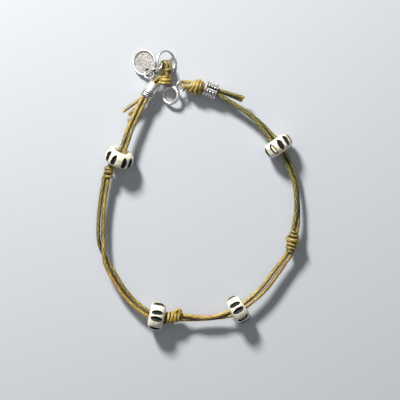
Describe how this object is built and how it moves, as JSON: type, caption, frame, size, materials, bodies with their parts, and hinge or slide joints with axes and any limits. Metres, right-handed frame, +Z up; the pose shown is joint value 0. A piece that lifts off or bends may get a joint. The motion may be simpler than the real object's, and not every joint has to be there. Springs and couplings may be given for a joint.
{
  "type": "knotted cord bracelet",
  "caption": "Bracelet of two waxed cords with bone disc beads, tied knots, silver crimps, a closing ring with a small round tag, and a spring-ring clasp.",
  "frame": {"origin": "centre of the bounding box in plan, on the surface that the bracelet lies on", "axes": "+Z up from the surface, the shortest extent; +Y towards the two ends with the clasp and the closing ring, the longest extent; +X to the right seen from above"},
  "size_m": [0.0551, 0.0759, 0.0079],
  "materials": {
    "waxed_cord_gold": "waxed braided cord, golden khaki, slightly glossy",
    "waxed_cord_green": "waxed braided cord, greenish khaki with light and dark flecks",
    "bone": "polished ivory-coloured bone with dark stained cuts",
    "silver": "polished silver, worn, with darker hollows"
  },
  "bodies": {
    "bracelet": {"cord_strand_a": "waxed_cord_green", "cord_strand_b": "waxed_cord_gold", "bead_upper_left": "bone", "bead_lower_left": "bone", "bead_lower_right": "bone", "bead_upper_right": "bone", "knot_left": "waxed_cord_gold", "knot_bottom": "waxed_cord_gold", "knot_right": "waxed_cord_gold", "left_crimp": "silver", "left_end_loop": "waxed_cord_gold", "left_tail_a": "waxed_cord_gold", "left_tail_b": "waxed_cord_gold", "closing_ring": "silver", "tag": "silver", "tag_ring_a": "silver", "tag_ring_b": "silver", "tag_ring_c": "silver", "right_crimp": "silver", "right_end_loop": "waxed_cord_gold", "right_tail_a": "waxed_cord_gold", "right_tail_b": "waxed_cord_gold", "clasp_link": "silver", "clasp_body": "silver"},
    "lever": {"clasp_lever": "silver"}
  },
  "joints": [
    {"name": "lever_pull", "type": "hinge", "parent": "bracelet", "child": "lever", "pos_m": [-0.0077, 0.02585, 0.0016], "axis": [0.4648, 0, -0.8854], "range_deg": [0, 40], "stiffness_Nm_per_rad": 0.0004}
  ]
}
